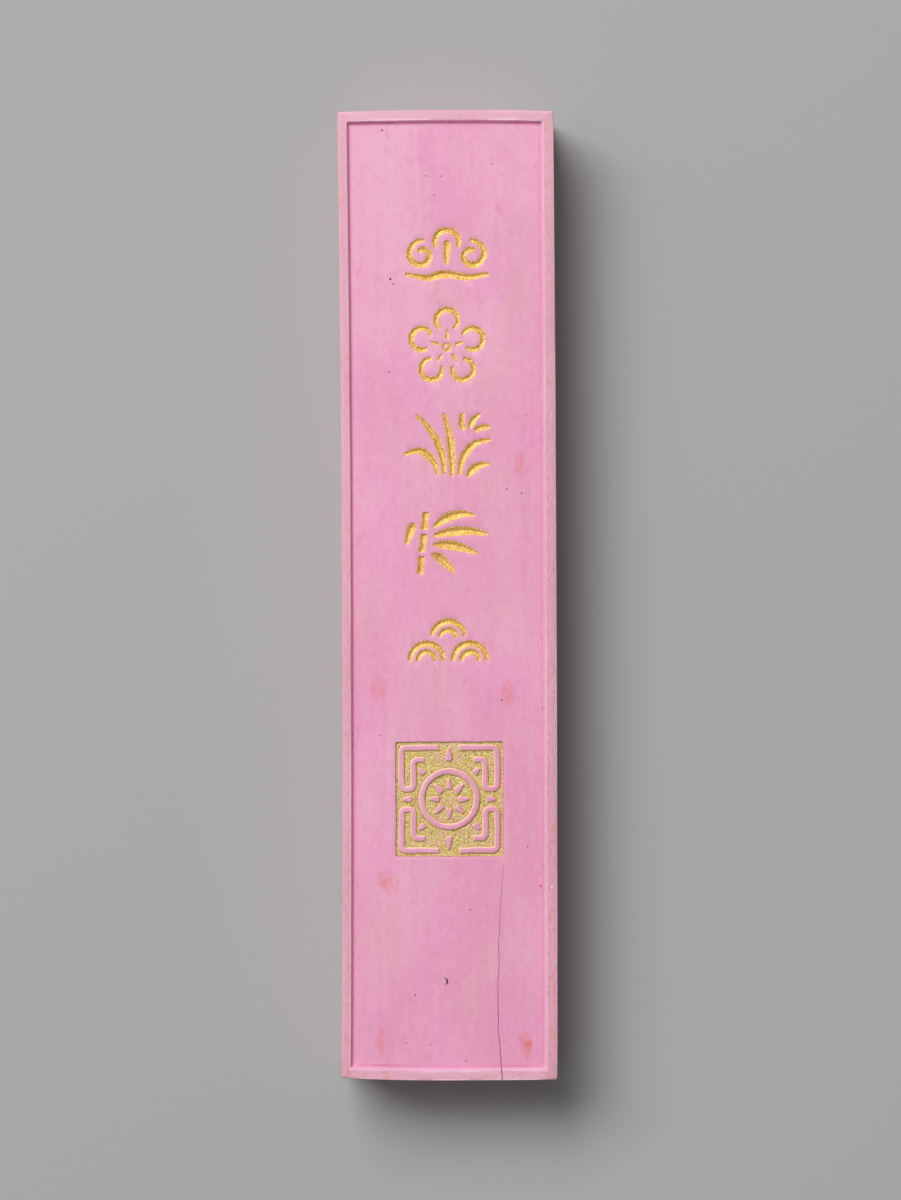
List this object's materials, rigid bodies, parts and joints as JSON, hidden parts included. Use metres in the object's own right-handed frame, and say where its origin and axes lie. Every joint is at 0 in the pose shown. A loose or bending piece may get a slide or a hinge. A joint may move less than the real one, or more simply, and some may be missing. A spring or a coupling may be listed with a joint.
{
  "type": "ink stick",
  "caption": "Flat rectangular ink stick of pressed pink ink with a raised rim round a sunk panel, engraved ornaments filled with gold paint and a square gilded medallion",
  "frame": {"origin": "middle of the underside, the back rim's plane that the stick lies on", "axes": "+X to the stick's right, +Y to its head, +Z out of its front face"},
  "size_m": [0.0218, 0.097, 0.0094],
  "materials": {
    "pink_ink": "dry pressed ink, matt with a faint sheen, slightly mottled and stained",
    "gold_paint": "grainy gold paint, worn in places"
  },
  "bodies": {
    "root": {"gilt_bamboo_cane_1": "gold_paint", "gilt_bamboo_cane_2": "gold_paint", "gilt_bamboo_cane_3": "gold_paint", "gilt_bamboo_leaf_1": "gold_paint", "gilt_bamboo_leaf_2": "gold_paint", "gilt_bamboo_leaf_3": "gold_paint", "gilt_bamboo_leaf_4": "gold_paint", "gilt_bamboo_leaf_5": "gold_paint", "gilt_cloud_crown": "gold_paint", "gilt_cloud_drop": "gold_paint", "gilt_cloud_left_curl": "gold_paint", "gilt_cloud_right_curl": "gold_paint", "gilt_cloud_tail": "gold_paint", "gilt_medallion_eye": "gold_paint", "gilt_medallion_field": "gold_paint", "gilt_orchid_leaf_1": "gold_paint", "gilt_orchid_leaf_2": "gold_paint", "gilt_orchid_leaf_3": "gold_paint", "gilt_orchid_leaf_4": "gold_paint", "gilt_orchid_leaf_5": "gold_paint", "gilt_orchid_petal_1": "gold_paint", "gilt_orchid_petal_2": "gold_paint", "gilt_orchid_petal_3": "gold_paint", "gilt_plum_heart": "gold_paint", "gilt_plum_petal_1": "gold_paint", "gilt_plum_petal_2": "gold_paint", "gilt_plum_petal_3": "gold_paint", "gilt_plum_petal_4": "gold_paint", "gilt_plum_petal_5": "gold_paint", "gilt_plum_stamen_1": "gold_paint", "gilt_plum_stamen_2": "gold_paint", "gilt_plum_stamen_3": "gold_paint", "gilt_plum_stamen_4": "gold_paint", "gilt_plum_stamen_5": "gold_paint", "gilt_waves_left_crest": "gold_paint", "gilt_waves_left_ripple": "gold_paint", "gilt_waves_right_crest": "gold_paint", "gilt_waves_right_ripple": "gold_paint", "gilt_waves_upper_crest": "gold_paint", "gilt_waves_upper_ripple": "gold_paint", "ink_block": "pink_ink"}
  },
  "joints": []
}
